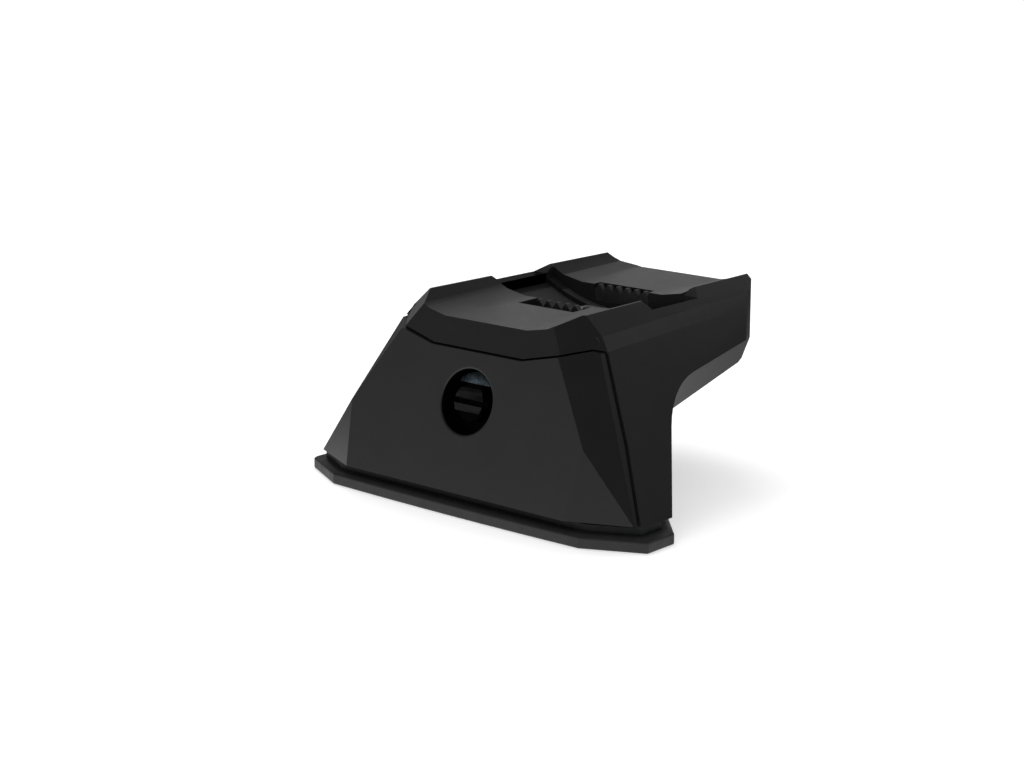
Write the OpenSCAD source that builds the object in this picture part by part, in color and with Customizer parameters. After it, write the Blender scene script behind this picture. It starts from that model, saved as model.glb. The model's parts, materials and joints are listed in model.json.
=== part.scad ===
// Roof bar foot: a moulded tower on a rubber-faced base, with a cradle for a flat roof bar,
// a wedge-driven clamp tee inside the arm and a lockable front cover.
// X runs along the vehicle, +Y points inboard along the roof bar and +Z is up.
// The origin lies midway between the two roof fixing holes, on the underside of the base pad.

/* [Base] */
// Widest length of the base pad, along the vehicle
base_len = 150; // [140:1:170]
// Length of the pad's front edge between its corner cuts
base_front_len = 110; // [90:1:120]
// Length of the pad's back edge
base_back_len = 78; // [70:1:90]
// Depth of the pad, from its front edge inboard
base_depth = 61; // [58:1:70]
// Where the pad's straight ends start, behind the front edge
base_end_front = 10; // [8:0.5:14]
// Where the pad's straight ends stop, behind the front edge
base_end_back = 23.5; // [20:0.5:28]
// Thickness of the rubber pad
pad_t = 4.6; // [3:0.1:6]
// How far the pad's top edge lies inside its bottom edge
pad_draft = 1.6; // [0.5:0.1:2.5]
// How far the pad's front edge bows outwards at its middle
pad_bow = 1; // [0:0.1:2]
// Thickness of the steel base plate in the groove above the pad
plate_t = 2.4; // [2:0.1:3.5]
// How far the plate stands back from the pad's edge
plate_inset = 4; // [2:0.5:6]
// Distance between the two roof fixing holes
fixing_pitch = 76; // [60:1:84]
// How far the fixing holes lie behind the pad's front edge
fixing_y = 28; // [25:0.5:31]
// Diameter of the roof fixing holes
fixing_d = 8.4; // [6.4:0.1:9]
// Outer diameter of the steel sleeves round the fixing holes
sleeve_d = 13; // [12:0.1:15]

/* [Tower] */
// Half width of the tower at its foot
foot_half = 71.2; // [70:0.1:73]
// How much the side faces lean in for each millimetre of height
side_lean = 0.525; // [0.5:0.005:0.55]
// How much the side faces taper in for each millimetre inboard
side_taper = 0.025; // [0:0.005:0.04]
// Where the tower's sides end at the foot, behind the pad's front edge
side_depth = 27.8; // [25:0.1:29]
// How much the leg's rear edges lean inboard for each millimetre of height
rear_lean = 0.668; // [0.6:0.01:0.72]
// Fillet between the leg's rear edges and the arm
arm_fillet = 31; // [20:1:34]
// Wall thickness of the moulded leg
leg_wall = 3.2; // [2.8:0.1:4]
// Half width of the arm at its shoulders near the cover
shoulder_half = 41.3; // [40.5:0.1:42]
// How much narrower each shoulder is near the arm's inboard end
shoulder_taper = 3; // [0:0.1:3.4]
// How far the middle of the arm's end lies behind the pad's front edge
arm_end = 126.5; // [124:0.5:128]
// How far the arm's end is set back at its corners
arm_bow = 6.3; // [4:0.1:7]
// Height of the shoulder's parting line beside the cover
seam_front = 61.65; // [61.4:0.05:62]
// Height of the shoulder's parting line near the arm's end
seam_rear = 63.45; // [63:0.05:63.8]
// Height of the deck under the cradle
deck_z = 50.8; // [50:0.1:51.5]
// Thickness of the deck over the clamp tunnel
deck_t = 3.8; // [3:0.1:4.5]

/* [Cradle] */
// Height of the flat bar seat above the pad's underside, at the front screws
seat_z = 62.2; // [61.8:0.1:62.6]
// Rise of the bar seat towards the vehicle's middle, in degrees
seat_tilt = 0.8; // [0:0.1:1]
// Half width of the flat part of the bar seat
seat_half = 18; // [16:0.5:20]
// Half width of the seat at the outer edge of its gentle slopes
shelf_half = 26.4; // [25:0.1:28]
// Rise of the gentle slopes beside the flat
shelf_rise = 1.5; // [0.8:0.1:1.8]
// Half width of the seat at the foot of the lips
lip_foot_half = 29; // [28.2:0.1:30]
// Rise from the flat to the foot of the lips
lip_foot_rise = 2.7; // [2.2:0.1:3]
// Slope of the lips' inner walls, in degrees
lip_slope = 31; // [28:1:36]
// Height of the top of the lips
lip_z = 67.6; // [67.2:0.1:68.5]
// Half width between the lips' top edges near the cover
lip_half = 34.6; // [33.8:0.1:35.2]
// How much narrower the lips stand at the arm's inboard end
lip_taper = 2.8; // [0:0.1:3]
// How far the front seat reaches inboard
front_seat_end = 58.5; // [57:0.5:60]
// Where the rear seat starts
rear_seat_start = 89.3; // [88.5:0.1:91]
// Height of the low side walls beside the well
low_wall_z = 65; // [64.4:0.1:66]
// Half width of the well between the seats
well_half = 31; // [30:0.1:31.2]
// Depth of the well's hollow floor below the seat, at its middle
well_depth = 9.2; // [8.6:0.1:9.6]
// Radius of the well's hollow floor
well_r = 61.2; // [58:0.1:70]
// Width of the notches that hold the toothed grips
notch_w = 24.5; // [22:0.5:27]
// Depth of the front notch
front_notch = 10.3; // [7:0.1:12]
// Depth of the rear notch
rear_notch = 3.5; // [3:0.1:5]

/* [Grips] */
// Number of teeth on each grip
teeth = 6; // [4:1:8]
// Thickness of a grip
grip_t = 2; // [1.5:0.1:2.2]
// Height of the teeth
tooth_h = 2.3; // [1.5:0.1:3]
// How deep a grip is let into the cradle
grip_root = 4; // [3:0.5:5]

/* [Clamp] */
// How far the clamp tee lies behind the pad's front edge
tee_y = 74; // [73:0.5:75]
// Travel of the tee and of the carriage that lifts it
clamp_travel = 10; // [8:0.5:10]
// Diameter of the tee's shank
tee_shank_d = 7.6; // [7:0.1:8]
// Length of the tee's head along the vehicle
tee_head_len = 15; // [12:0.5:18]
// Width of the tee's head along the bar
tee_head_w = 11; // [9:0.5:12]
// Thickness of the tee's head
tee_head_t = 3.5; // [3:0.1:3.6]
// Diameter of the cross pin through the tee's shank
pin_d = 4; // [3.5:0.1:4.2]
// Diameter of the drive bolt's thread
bolt_d = 6; // [5:0.5:6]
// Thread pitch of the drive bolt
bolt_pitch = 1; // [0.8:0.05:1.25]
// Height of the drive bolt's axis
bolt_z = 40.5; // [40:0.1:40.7]
// Thickness of the bulkhead that the drive bolt pulls against
bulkhead_t = 8; // [6:0.5:8]
// How far the leg's cavity reaches behind the pad's front edge
cavity_y = 42; // [41:0.5:42]
// Width of the sliding carriage
carriage_w = 25.4; // [22:0.1:26]

/* [Cover] */
// Lean of the cover's main face from upright, in degrees
face_lean = 16.1; // [14:0.1:17]
// Half length of the main face's bottom edge
face_low_half = 48.4; // [46:0.1:51]
// Half length of the cover at its bottom corners
cover_half = 69.6; // [68:0.1:70]
// How far the bottom corners lie behind the main face
cover_corner_y = 9.5; // [8.5:0.1:10]
// Half width of the main face at its widest
face_wide_half = 51.4; // [50:0.1:53]
// Height of the main face's widest place
face_wide_z = 30; // [27:0.5:33]
// Half width of the main face at the top of its side edges
face_top_half = 35.2; // [34:0.1:36.5]
// Height of the top of the main face's side edges
face_top_z = 55; // [54:0.1:56]
// Wall thickness of the cover
cover_wall = 2.6; // [2:0.1:3]
// Gap round the cover
cover_gap = 0.6; // [0.4:0.1:0.9]

/* [Lock] */
// Height of the middle of the lock hole
lock_z = 36.9; // [36:0.1:38]
// Diameter of the lock hole
lock_hole_d = 23.4; // [22:0.1:24]
// Diameter of the turning barrel
barrel_d = 12.4; // [11:0.1:13]
// Diameter of the lock housing's threaded body
housing_d = 17.6; // [17:0.1:18]
// Reach of the cam's tongue from the barrel's axis
cam_reach = 15.5; // [14:0.1:15.8]

/* [Hidden] */
$fn = 48;
big = 300;
eps = 0.01;

// Levels and clearances shared by several pieces
foot_z = pad_t + plate_t;
cover_z = foot_z + 0.8;
floor_t = 5;
floor_z = foot_z + floor_t;
fit_gap = 0.05;
slip_gap = 0.3;
run_gap = 0.08;
part_gap = 0.1;
fixing_half = fixing_pitch / 2;

// The cover's main face leans back from its bottom edge
function face_y(z) = (z - cover_z) * tan(face_lean);
// The tower's front edge leans back in two steps, and the cover's rear edge follows it
fold = [19.8, 30];
low_lean = 0.36;
high_lean = 0.27;
function front_y(z) = fold[0] + (z - fold[1]) * (z < fold[1] ? low_lean : high_lean);
tower_front_y = front_y(foot_z);
// The tower's side faces lean in from the foot and taper inboard
function side_x(y, z) = foot_half - (z - foot_z) * side_lean - (y - tower_front_y) * side_taper;
// The parting line between the tower's shoulders and the cradle rises inboard
seam_y = [27.9, 110];
function seam_z(y) = seam_front + (seam_rear - seam_front) * (y - seam_y[0]) / (seam_y[1] - seam_y[0]);
// The bar seat rises inboard from the front screws
seat_pivot_y = 38;
function seat_at(y) = seat_z + (y - seat_pivot_y) * tan(seat_tilt);

// Corners of the cover's faces on the right-hand side
low_inner = [face_low_half, 0, cover_z];
low_outer = [cover_half, cover_corner_y, cover_z];
face_wide = [face_wide_half, face_y(face_wide_z), face_wide_z];
face_top = [face_top_half, face_y(face_top_z), face_top_z];
rim_top = [43.8, 24.3, 57];
side_step = 0.9;
inside_ref = [0, 60, 20];

// The cover's top edge steps up beside the cradle's front panel
cover_top_z = 53;
cover_top_half = 19.7;
panel_low = [34.4, 15.3, 56.3];
apron_low = [41.5, 57.9];
cover_top_end = [46, 56.4];

// Corners of the cradle and of the tower's shoulder on the right-hand side
panel_top = [29, 18.6, 64];
seam_start = [shoulder_half, seam_y[0], seam_front];
seam_end = [shoulder_half - shoulder_taper, seam_y[1], seam_rear];
lip_start = [lip_half, 28.5, lip_z];
lip_end = [lip_half - lip_taper, arm_end - arm_bow, lip_z];
bevel_low_z = 57.3;
bevel_low = [side_x(33, bevel_low_z), 33, bevel_low_z];
shoulder_front_z = 57.6;
shoulder_front = [side_x(front_y(shoulder_front_z), shoulder_front_z), front_y(shoulder_front_z), shoulder_front_z];
apron_side = [shoulder_half + 0.4, 23.9, 58.4];
deck_half = 31.5;
end_half = 20;
end_corner_half = 34;
channel_back = arm_end - arm_bow - 2.2;
end_ledge_z = 60.5;

// Arm underside: its side edge and its flat underside both rise inboard
arm_edge_y = 66.7;
arm_edge_z = 44.8;
arm_edge_rise = 0.132;
arm_flat_y = 76.1;
arm_flat_z = 27.5;
arm_flat_rise = 0.255;
leg_back_y = base_depth - 3;

// Clamp tunnel, carriage and tee
tunnel_top = deck_z - deck_t;
tunnel_half = carriage_w / 2 + slip_gap;
tunnel_front = cavity_y + bulkhead_t;
carriage_front = tunnel_front + 2;
nut_wall = 8;
cheek_gap = tee_shank_d / 2 + 0.4;
pin_rest = [tee_y, tunnel_top - slip_gap - 2.6 - pin_d / 2 - clamp_travel];
carriage_back = tee_y + pin_d / 2 + 3;
carriage_low = pin_rest[1] - pin_d / 2 - 2.6;
carriage_top = tunnel_top - slip_gap;
keel_t = 3;
keel_z = carriage_low - slip_gap - keel_t;
keel_half = tunnel_half + 8;
tunnel_back = carriage_back + clamp_travel + 3;
bolt_tip = carriage_front + nut_wall + clamp_travel - 0.5;
washer_t = 1.2;
bolt_head_d = 10;
bolt_head_h = 6;
head_rest_gap = 0.4;
well_mid_z = seat_z - well_depth;
tee_head_z = well_mid_z + well_r - sqrt(well_r * well_r - tee_head_len * tee_head_len / 4) + head_rest_gap;

// Lock stack, measured along its axis from the cover's face, negative inwards
barrel_face = -1;
housing_face = -6.2;
recess_floor = -8;
collar_end = -13;
nut_end = -16.5;
housing_end = -17;
cam_front = -20;
cam_t = 2.5;
cam_half = 4;
flange_d = lock_hole_d - 1;
hood_r = 16;
hood_top = -2.5;
hood_low = 5.2;
nut_across = 24;
clip_t = 1;
spigot = 7;

// Sheet sizes of the cover keeper on the cavity floor
keeper_t = 2;
keeper_half = 9;
keeper_back = 22.9;
keeper_top = 19.8;
keeper_foot = 8;
keeper_screw_y = keeper_back + 4.3;

// Small screws, one size for each job
base_screw_d = 5;
base_screw_len = 12;
base_screw_spots = [[56, 17], [30, 49]];
small_screw_d = 4;
cradle_screw_d = 5;
cradle_screw_len = 12;
cradle_front_spot = [22, 35];
cradle_rear_spot = [20, 106];
cavity_top = 47;

// Draws everything on the reference point's side of the plane through three corners
module inside(a, b, c, inset = 0, ref = inside_ref) {
    raw = cross(b - a, c - a);
    turned = raw * (ref - a) > 0 ? -raw : raw;
    n = turned / norm(turned);
    translate(a - n * inset)
        rotate([0, acos(n[2]), atan2(n[1], n[0])])
            translate([-big, -big, -2 * big])
                cube(2 * big);
}

function mirrored(p) = [-p[0], p[1], p[2]];

// The same plane on both sides of the middle
module inside_pair(a, b, c, inset = 0, ref = inside_ref) {
    intersection() {
        inside(a, b, c, inset, ref);
        inside(mirrored(a), mirrored(b), mirrored(c), inset, ref);
    }
}

// Extrudes an outline drawn in X and Z along Y
module along_y(points, y0, y1) {
    translate([0, y1, 0])
        rotate([90, 0, 0])
            linear_extrude(y1 - y0)
                polygon(points);
}

// Extrudes an outline drawn in Y and Z along X
module along_x(points, half) {
    rotate([90, 0, 90])
        translate([0, 0, -half])
            linear_extrude(2 * half)
                polygon(points);
}

// A cylinder along Y from one place to another
module rod_y(r, x, z, y0, y1) {
    translate([x, y0, z])
        rotate([-90, 0, 0])
            cylinder(r = r, h = y1 - y0);
}

// Copies a piece to both sides of the middle
module both_sides() {
    children();
    mirror([1, 0, 0]) children();
}

// Puts the lock's own axis on Z, outwards, with its zero at the cover's face
module at_lock() {
    translate([0, face_y(lock_z), lock_z])
        rotate([90 - face_lean, 0, 0])
            children();
}

// Moves the model from the pad's front edge to the middle of the roof fixings
module placed() {
    translate([0, -fixing_y, 0]) children();
}

// Half of the pad's outline, then the whole outline, drawn in by an inset
function pad_side(inset) = [
    [base_front_len / 2 - inset * 0.2, inset],
    [base_len / 2 - inset, base_end_front + inset * 0.6],
    [base_len / 2 - inset, base_end_back - inset * 0.4],
    [base_back_len / 2 - inset * 0.4, base_depth - inset]
];
function pad_front(inset, bow) = [
    for (i = [-3 : 3]) [i / 4 * base_front_len / 2, inset - bow * (1 - pow(i / 4, 2))]
];
function flipped(points) = [for (i = [len(points) - 1 : -1 : 0]) [-points[i][0], points[i][1]]];
function pad_outline(inset, bow) = concat(pad_front(inset, bow), pad_side(inset), flipped(pad_side(inset)));

module fixing_holes(z0, z1, d = fixing_d) {
    both_sides()
        translate([fixing_half, fixing_y, z0])
            cylinder(d = d, h = z1 - z0);
}

module base_pad() {
    color("#3a3b3c")
        placed()
            difference() {
                hull() {
                    linear_extrude(pad_t - 1) polygon(pad_outline(0, pad_bow));
                    linear_extrude(pad_t) polygon(pad_outline(pad_draft, pad_bow));
                }
                fixing_holes(-1, pad_t + 1);
            }
}

// Places base screws under the tower's floor
module at_base_screws() {
    for (spot = base_screw_spots)
        both_sides()
            translate([spot[0], spot[1], pad_t])
                children();
}

module base_screw_shape(extra) {
    cylinder(d1 = base_screw_d + 4.6 + 2 * extra, d2 = base_screw_d + 2 * extra, h = 2.3);
    cylinder(d = base_screw_d + 2 * extra, h = base_screw_len + extra);
}

module base_plate() {
    color("#17181a")
        placed()
            difference() {
                translate([0, 0, pad_t]) linear_extrude(plate_t) polygon(pad_outline(plate_inset, 0));
                fixing_holes(0, foot_z + 1);
                at_base_screws() base_screw_shape(fit_gap);
            }
}

module base_screws() {
    color("silver")
        placed()
            at_base_screws()
                base_screw_shape(0);
}

module fixing_sleeves() {
    color("silver")
        placed()
            difference() {
                fixing_holes(foot_z, floor_z + 2, sleeve_d);
                fixing_holes(foot_z - 1, floor_z + 3);
            }
}

// Region inside the cover's outer faces, drawn in by an inset
module cover_faces(inset) {
    intersection() {
        inside([0, 0, cover_z], [1, 0, cover_z], [0, face_y(face_top_z), face_top_z], inset);
        inside_pair(face_wide, face_top, rim_top, inset);
        inside_pair(face_wide, rim_top, low_outer, inset);
        inside_pair(low_inner, low_outer, face_wide, inset);
        inside_pair([side_x(0, foot_z) - side_step, 0, foot_z], [side_x(60, foot_z) - side_step, 60, foot_z],
                    [side_x(0, 60) - side_step, 0, 60], inset);
    }
}

// Right half of the cover's stepped top edge, moved up by a lift
function top_edge(lift) = [
    [cover_top_half, cover_top_z + lift], [panel_low[0], panel_low[2] + lift],
    [apron_low[0], apron_low[1] + lift], [cover_top_end[0], cover_top_end[1] + lift],
    [big, cover_top_end[1] + lift]
];

// Everything below the cover's stepped top edge
module below_cover_top(lift) {
    along_y(concat(top_edge(lift), [[big, -big], [-big, -big]], flipped(top_edge(lift))), -big, big);
}

// Everything in front of the tower's front edge, moved back by a shift
module ahead_of_tower(shift) {
    y = fold[0] + shift;
    intersection() {
        inside([0, y, fold[1]], [1, y, fold[1]], [0, y + 10 * low_lean, fold[1] + 10], 0, [0, -60, 20]);
        inside([0, y, fold[1]], [1, y, fold[1]], [0, y + 10 * high_lean, fold[1] + 10], 0, [0, -60, 20]);
    }
}

// Room that the tower and the cradle leave for the cover
module cover_room() {
    intersection() {
        below_cover_top(cover_gap / 2);
        ahead_of_tower(0);
    }
}

tab_half = 6;
tab_x = 30;
tab_z = 13.4;
tab_t = 2;
sill_y = 12.4;
sill_t = 2.4;
sill_top = 18;

module front_cover() {
    color("#2b2b2b")
        placed()
            difference() {
                union() {
                    difference() {
                        intersection() {
                            cover_faces(0);
                            below_cover_top(-cover_gap / 2);
                            ahead_of_tower(-cover_gap);
                            translate([-big, -big, cover_z]) cube(2 * big);
                        }
                        intersection() {
                            cover_faces(cover_wall);
                            below_cover_top(-cover_gap / 2 - cover_wall);
                        }
                    }
                    cover_collar();
                    cover_tabs();
                }
                at_lock() {
                    translate([0, 0, recess_floor]) cylinder(d = lock_hole_d, h = 20);
                    translate([0, 0, collar_end - 1]) cylinder(d = housing_d + 2 * fit_gap, h = 20);
                }
            }
}

// Tube behind the lock hole that the lock housing is bolted into
module cover_collar() {
    at_lock()
        translate([0, 0, collar_end])
            cylinder(d = lock_hole_d + 2 * cover_wall, h = -collar_end - 1);
}

// Tongues along the cover's bottom that pass through the tower's sill
module cover_tabs() {
    both_sides()
        intersection() {
            translate([tab_x - tab_half, 0, tab_z]) cube([2 * tab_half, sill_y + sill_t + 3, tab_t]);
            cover_faces(cover_wall / 2);
        }
}

// Points of a round corner between two straight lines, from the first line to the second
function fillet_points(p, q, s, r, steps) =
    let (u = (p - q) / norm(p - q), v = (s - q) / norm(s - q),
         half = acos(u * v) / 2, t = r / tan(half),
         m = (u + v) / norm(u + v), c = q + m * r / sin(half),
         a0 = atan2((q + u * t - c)[1], (q + u * t - c)[0]),
         a1 = atan2((q + v * t - c)[1], (q + v * t - c)[0]),
         turn = a1 - a0 > 180 ? a1 - a0 - 360 : a1 - a0 < -180 ? a1 - a0 + 360 : a1 - a0)
    [for (i = [0 : steps]) c + r * [cos(a0 + turn * i / steps), sin(a0 + turn * i / steps)]];

// Side outline of the leg and arm along the leaning side face
function arm_edge(y) = arm_edge_z + arm_edge_rise * (y - arm_edge_y);
function arm_flat(y) = arm_flat_z + arm_flat_rise * (y - arm_flat_y);
rear_corner_z = (arm_edge(side_depth) - arm_edge_rise * rear_lean * foot_z) / (1 - arm_edge_rise * rear_lean);
rear_corner = [side_depth + rear_lean * (rear_corner_z - foot_z), rear_corner_z];
fillet_steps = 7;
tip_z = 66;
side_tip = [100.1, 49.3];
side_outline = concat(
    [[0, foot_z], [side_depth, foot_z]],
    fillet_points([side_depth, foot_z], rear_corner, side_tip, arm_fillet, fillet_steps),
    [side_tip, side_tip + [0.8, 1.1], side_tip + [2, 2.9], side_tip + (tip_z - side_tip[1]) * [0.69, 1], [0, tip_z]]
);
// Outline of the arm's flat underside and end; the bow draws its end inboard
back_corner_y = leg_back_y + 12.8;
back_corner = [back_corner_y, arm_flat(back_corner_y)];
flat_tip_y = arm_end - arm_bow - 6.8;
function middle_outline(bow) = concat(
    [[0, foot_z], [leg_back_y, foot_z]],
    fillet_points([leg_back_y, foot_z], back_corner, [arm_end, arm_flat(arm_end)], 8, fillet_steps),
    [[flat_tip_y, arm_flat(flat_tip_y)], [flat_tip_y + 2.1 + bow / 2, arm_flat(flat_tip_y) + 1.3],
     [flat_tip_y + 6.8 + bow, arm_flat(flat_tip_y) + 8], [flat_tip_y + 6.8 + bow, tip_z], [0, tip_z]]
);

// The leg and arm, lofted from the side faces to the flat middle
module leg_and_arm() {
    count = len(side_outline);
    corner_row = [for (p = middle_outline(0)) [end_corner_half, p[0], p[1]]];
    middle_row = [for (p = middle_outline(arm_bow)) [end_half, p[0], p[1]]];
    rows = concat([[for (p = side_outline) [side_x(p[0], p[1]), p[0], p[1]]]], [corner_row, middle_row],
                  [for (row = [middle_row, corner_row]) [for (p = row) [-p[0], p[1], p[2]]]],
                  [[for (p = side_outline) [-side_x(p[0], p[1]), p[0], p[1]]]]);
    last = (len(rows) - 1) * count;
    tip = count - 1;
    strips = [for (r = [0 : len(rows) - 2]) for (i = [0 : tip])
        let (a = r * count + i, b = r * count + (i + 1) % count, c = b + count, d = a + count)
        each [[a, b, c], [a, c, d]]];
    caps = [for (i = [0 : count - 3]) each [[tip, i + 1, i], [last + tip, last + i, last + i + 1]]];
    polyhedron(points = [for (row = rows) each row], faces = concat(caps, strips));
}

// The loft trimmed to the parting line and to the shoulders' bevels and front facets
module tower_form() {
    intersection() {
        leg_and_arm();
        below_seam();
        inside_pair(seam_start, seam_end, bevel_low);
        inside_pair(seam_start, apron_side, shoulder_front, 0, [0, 60, 40]);
    }
}

module below_seam(lift = 0) {
    inside([0, seam_y[0], seam_front + lift], [1, seam_y[0], seam_front + lift], [0, seam_y[1], seam_rear + lift]);
}

// Deeper keel under the arm, round the clamp tunnel
module keel() {
    along_x([
        [cavity_y + 4, foot_z + 6], [leg_back_y - 2, foot_z + 6], [leg_back_y + 4, keel_z + keel_t],
        [tunnel_back + 3, keel_z + keel_t], [tunnel_back + 9, arm_flat(tunnel_back + 9) + 2],
        [tunnel_back, tunnel_top], [cavity_y + 4, tunnel_top]
    ], keel_half);
}

module leg_cavity() {
    intersection() {
        translate([0, 0, floor_z])
            linear_extrude(cavity_top - floor_z)
                polygon([
                    [-64, -5], [64, -5], [64, base_end_back - 3], [46, cavity_y],
                    [-46, cavity_y], [-64, base_end_back - 3]
                ]);
        inside_pair([side_x(0, foot_z), 0, foot_z], [side_x(60, foot_z), 60, foot_z], [side_x(0, 60), 0, 60], leg_wall);
    }
}

module tower_body() {
    color("#222223")
        placed()
            difference() {
                union() {
                    difference() {
                        union() {
                            tower_form();
                            keel();
                        }
                        cover_room();
                        lock_room();
                        leg_cavity();
                        cradle_channel();
                        clamp_tunnel();
                        arm_pockets();
                    }
                    tower_ribs();
                    tower_bosses();
                    tower_sill();
                }
                tower_bores();
            }
}

// Channel between the shoulders that the cradle sits in
module cradle_channel() {
    translate([-deck_half, channel_back - big, deck_z]) cube([2 * deck_half, big, 40]);
    translate([-deck_half, channel_back - 1, end_ledge_z]) cube([2 * deck_half, 20, 40]);
    translate([-apron_low[0] - part_gap, seam_y[0] - 1.6 - big, deck_z + 2]) cube([2 * (apron_low[0] + part_gap), big, 40]);
}

// Room round the cover's collar
module lock_room() {
    at_lock()
        translate([0, 0, collar_end - 8])
            cylinder(d = lock_hole_d + 2 * cover_wall + 1.6, h = 30);
}

module clamp_tunnel() {
    translate([-tunnel_half, tunnel_front, keel_z - 1])
        cube([2 * tunnel_half, tunnel_back - tunnel_front, tunnel_top - keel_z + 1]);
    translate([-keel_half - 1, tunnel_front - 2.5, keel_z - 10])
        cube([2 * keel_half + 2, tunnel_back - tunnel_front + 20, keel_t + 10]);
}

// Pockets under the arm's end, either side of a middle rib
module arm_pockets() {
    pocket_top = deck_z - 4;
    both_sides()
        translate([1.5, tunnel_back + 5, 20])
            cube([27, arm_end - 9 - tunnel_back, pocket_top - 20]);
}

module tower_ribs() {
    intersection() {
        both_sides()
            translate([28.2, 22, floor_z - eps])
                cube([2.4, cavity_y - 22 + eps, cavity_top - floor_z + 2 * eps]);
        leg_cavity_grown();
    }
}

module leg_cavity_grown() {
    translate([-64, 0, floor_z - 1]) cube([128, cavity_y + 1, cavity_top - floor_z + 2]);
}

module tower_bosses() {
    fixing_holes(floor_z - 1, floor_z + 2, sleeve_d + 5);
    both_sides() {
        translate([base_screw_spots[0][0], base_screw_spots[0][1], floor_z - 1])
            cylinder(d = base_screw_d + 4.4, h = 7);
        translate([cradle_rear_spot[0], cradle_rear_spot[1], arm_flat(cradle_rear_spot[1])])
            cylinder(d = cradle_screw_d + 10, h = deck_z - 1 - arm_flat(cradle_rear_spot[1]));
    }
}

// Low wall behind the cover's bottom edge, slotted for the cover's tabs
module tower_sill() {
    difference() {
        translate([-54, sill_y, floor_z - 1]) cube([108, sill_t, sill_top - floor_z + 1]);
        both_sides()
            translate([tab_x - tab_half - slip_gap, sill_y - 1, tab_z - slip_gap])
                cube([2 * tab_half + 2 * slip_gap, sill_t + 2, tab_t + 2 * slip_gap]);
    }
}

module tower_bores() {
    fixing_holes(foot_z - 1, floor_z + 3, sleeve_d + 2 * fit_gap);
    at_base_screws()
        translate([0, 0, plate_t - 0.5])
            cylinder(d = base_screw_d + 2 * fit_gap, h = base_screw_len);
    rod_y(bolt_d / 2 + 0.2, 0, bolt_z, cavity_y - 1, tunnel_front + 1);
    translate([0, tee_y, tunnel_top - 1])
        cylinder(d = tee_shank_d + 2 * run_gap, h = deck_t + 2);
    at_cradle_screws() {
        cylinder(d = cradle_screw_d + 2 * fit_gap, h = 20);
        translate([0, 0, -30]) cylinder(d = cradle_screw_d + 5, h = 30);
    }
    both_sides()
        translate([5, keeper_screw_y, foot_z + 0.8])
            cylinder(d = small_screw_d + 2 * fit_gap, h = 10);
    at_keel_screws()
        translate([0, 0, -1]) cylinder(d = small_screw_d + 2 * fit_gap, h = 9);
}

// Cradle screws start under the deck and point up
module at_cradle_screws() {
    both_sides() {
        translate([cradle_front_spot[0], cradle_front_spot[1], cavity_top]) children();
        translate([cradle_rear_spot[0], cradle_rear_spot[1], cavity_top - 1]) children();
    }
}

module at_keel_screws() {
    both_sides()
        for (y = [tunnel_front + 6, tunnel_back - 6])
            translate([tunnel_half + 4, y, keel_z])
                children();
}

module pan_screw(d, len) {
    translate([0, 0, -0.6 * d]) cylinder(d = 1.8 * d, h = 0.6 * d);
    cylinder(d = d, h = len);
}

module keel_cover() {
    color("#222223")
        placed()
            difference() {
                translate([-keel_half, tunnel_front - 2, keel_z])
                    cube([2 * keel_half, tunnel_back - tunnel_front + 5, keel_t]);
                at_keel_screws() {
                    translate([0, 0, -1]) cylinder(d = small_screw_d + 2 * fit_gap, h = 10);
                    translate([0, 0, -1]) cylinder(d = 2 * small_screw_d, h = 1.6);
                }
            }
}

module keel_screws() {
    color("silver")
        placed()
            at_keel_screws()
                translate([0, 0, 0.6]) {
                    translate([0, 0, -0.6]) cylinder(d = 1.8 * small_screw_d, h = 0.6);
                    cylinder(d = small_screw_d, h = 6);
                }
}

// Seat surface, lips and walls, before the well and notches are cut
module cradle_block() {
    intersection() {
        union() {
            translate([-deck_half + part_gap, 0, deck_z])
                cube([2 * (deck_half - part_gap), channel_back - part_gap, 30]);
            translate([-deck_half + part_gap, channel_back - 2, end_ledge_z + part_gap])
                cube([2 * (deck_half - part_gap), 20, 30]);
            difference() {
                translate([-60, 0, 50]) cube([120, arm_end, 30]);
                below_seam(part_gap / 2);
            }
            translate([-apron_low[0], 0, 50]) cube([2 * apron_low[0], seam_y[0] - 1.6 - part_gap, 30]);
        }
        inside([0, panel_low[1], panel_low[2]], [1, panel_low[1], panel_low[2]],
               [0, panel_top[1], panel_top[2]], 0, [0, 60, 60]);
        inside_pair(panel_top, panel_low, seam_start, 0, [0, 60, 60]);
        inside_pair(seam_start, seam_end, lip_start, 0, [0, 60, 60]);
        inside_pair(lip_start, seam_end, lip_end, 0, [0, 60, 60]);
        linear_extrude(lip_z)
            polygon([
                [-60, 0], [60, 0], [60, 74], [end_corner_half, arm_end - arm_bow], [end_half, arm_end],
                [-end_half, arm_end], [-end_corner_half, arm_end - arm_bow], [-60, 74]
            ]);
    }
}

// Space that the bar takes up above the seat
module bar_space() {
    wall = 20;
    half = [
        [seat_half, 0], [shelf_half, shelf_rise], [lip_foot_half, lip_foot_rise],
        [lip_foot_half + wall, lip_foot_rise + wall * tan(lip_slope)], [lip_foot_half + wall, 40]
    ];
    translate([0, seat_pivot_y, seat_z])
        rotate([seat_tilt, 0, 0])
            along_y(concat(half, flipped(half)), -60, 100);
}

// Lowered walls beside the well, whose tops fall towards it
module low_walls() {
    along_x([
        [front_seat_end - 0.5, lip_z + 0.2], [front_seat_end + 0.7, low_wall_z],
        [rear_seat_start - 4.3, low_wall_z], [rear_seat_start, lip_z + 0.2],
        [rear_seat_start, 90], [front_seat_end - 0.5, 90]
    ], 60);
    both_sides()
        along_y([[26, low_wall_z - 2], [37.5, low_wall_z], [37.5, 80], [26, 80]],
                front_seat_end + 0.7, rear_seat_start - 4.3);
}

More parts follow.
